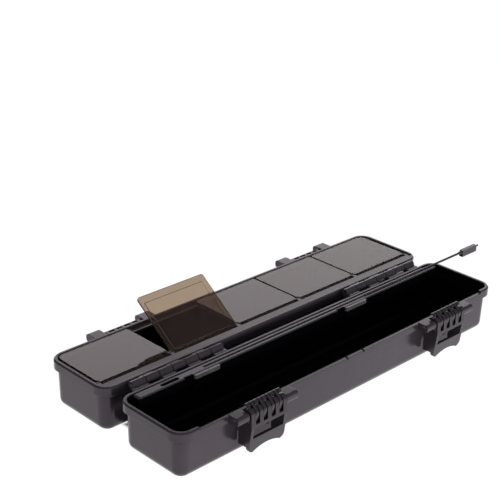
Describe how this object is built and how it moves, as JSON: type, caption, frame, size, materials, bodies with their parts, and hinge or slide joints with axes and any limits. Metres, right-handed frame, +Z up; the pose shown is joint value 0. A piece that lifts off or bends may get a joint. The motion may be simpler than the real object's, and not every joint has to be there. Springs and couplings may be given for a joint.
{
  "type": "needle box",
  "caption": "Long flat hinged plastic box for needles with draw latches, a lid tray of compartments under small flaps, and a needle that slides out of a rear rail.",
  "frame": {"origin": "centre of the base's underside", "axes": "+X along the box's length, -Y towards the front with the latches, +Z up; stored open, with the lid laid back flat"},
  "size_m": [0.2925, 0.1198, 0.0481],
  "materials": {
    "shell": "satin dark grey",
    "insert": "satin dark grey",
    "flap": "smooth smoked clear plastic",
    "latch": "satin dark grey",
    "pin": "plain",
    "rail": "satin",
    "clip": "satin",
    "needle": "satin"
  },
  "bodies": {
    "base": {"base_shell": "shell", "hinge_pin_left": "pin", "hinge_pin_right": "pin", "lever_pin_left": "pin", "lever_pin_right": "pin", "rear_rail": "rail", "rail_clip_left": "clip", "rail_clip_right": "clip"},
    "lid": {"lid_shell": "shell", "compartment_insert": "insert"},
    "flap_1": {"flap_1": "flap"},
    "flap_2": {"flap_2": "flap"},
    "flap_3": {"flap_3": "flap"},
    "flap_4": {"flap_4": "flap"},
    "flap_5": {"flap_5": "flap"},
    "lever_left": {"latch_lever_left": "latch", "link_pin_left": "pin"},
    "lever_right": {"latch_lever_right": "latch", "link_pin_right": "pin"},
    "link_left": {"latch_link_left": "latch"},
    "link_right": {"latch_link_right": "latch"},
    "needle": {"slide_needle": "needle"}
  },
  "joints": [
    {"name": "lid_hinge", "type": "hinge", "parent": "base", "child": "lid", "pos_m": [0, 0.0284, 0.0277], "axis": [-1, 0, 0], "range_deg": [-180, 0]},
    {"name": "flap_hinge_1", "type": "hinge", "parent": "lid", "child": "flap_1", "pos_m": [-0.0972, 0.0424, 0.0261], "axis": [1, 0, 0], "range_deg": [0, 110]},
    {"name": "flap_hinge_2", "type": "hinge", "parent": "lid", "child": "flap_2", "pos_m": [-0.0486, 0.0424, 0.0261], "axis": [1, 0, 0], "range_deg": [-36, 74]},
    {"name": "flap_hinge_3", "type": "hinge", "parent": "lid", "child": "flap_3", "pos_m": [0, 0.0424, 0.0261], "axis": [1, 0, 0], "range_deg": [0, 110]},
    {"name": "flap_hinge_4", "type": "hinge", "parent": "lid", "child": "flap_4", "pos_m": [0.0486, 0.0424, 0.0261], "axis": [1, 0, 0], "range_deg": [0, 110]},
    {"name": "flap_hinge_5", "type": "hinge", "parent": "lid", "child": "flap_5", "pos_m": [0.0972, 0.0424, 0.0261], "axis": [1, 0, 0], "range_deg": [0, 110]},
    {"name": "lever_pivot_left", "type": "hinge", "parent": "base", "child": "lever_left", "pos_m": [-0.073, -0.0286, 0.0259], "axis": [-1, 0, 0], "range_deg": [0, 100]},
    {"name": "lever_pivot_right", "type": "hinge", "parent": "base", "child": "lever_right", "pos_m": [0.073, -0.0286, 0.0259], "axis": [-1, 0, 0], "range_deg": [0, 100]},
    {"name": "link_pivot_left", "type": "hinge", "parent": "lever_left", "child": "link_left", "pos_m": [-0.073, -0.0295, 0.02214], "axis": [-1, 0, 0], "range_deg": [-75, 0]},
    {"name": "link_pivot_right", "type": "hinge", "parent": "lever_right", "child": "link_right", "pos_m": [0.073, -0.0295, 0.02214], "axis": [-1, 0, 0], "range_deg": [-75, 0]},
    {"name": "needle_slide", "type": "slide", "parent": "base", "child": "needle", "axis": [1, 0, 0], "range_m": [-0.022, 0.06]}
  ],
  "couplings": [
    {"joint": "link_pivot_left", "follows": "lever_pivot_left", "ratio": -0.75},
    {"joint": "link_pivot_right", "follows": "lever_pivot_right", "ratio": -0.75}
  ]
}
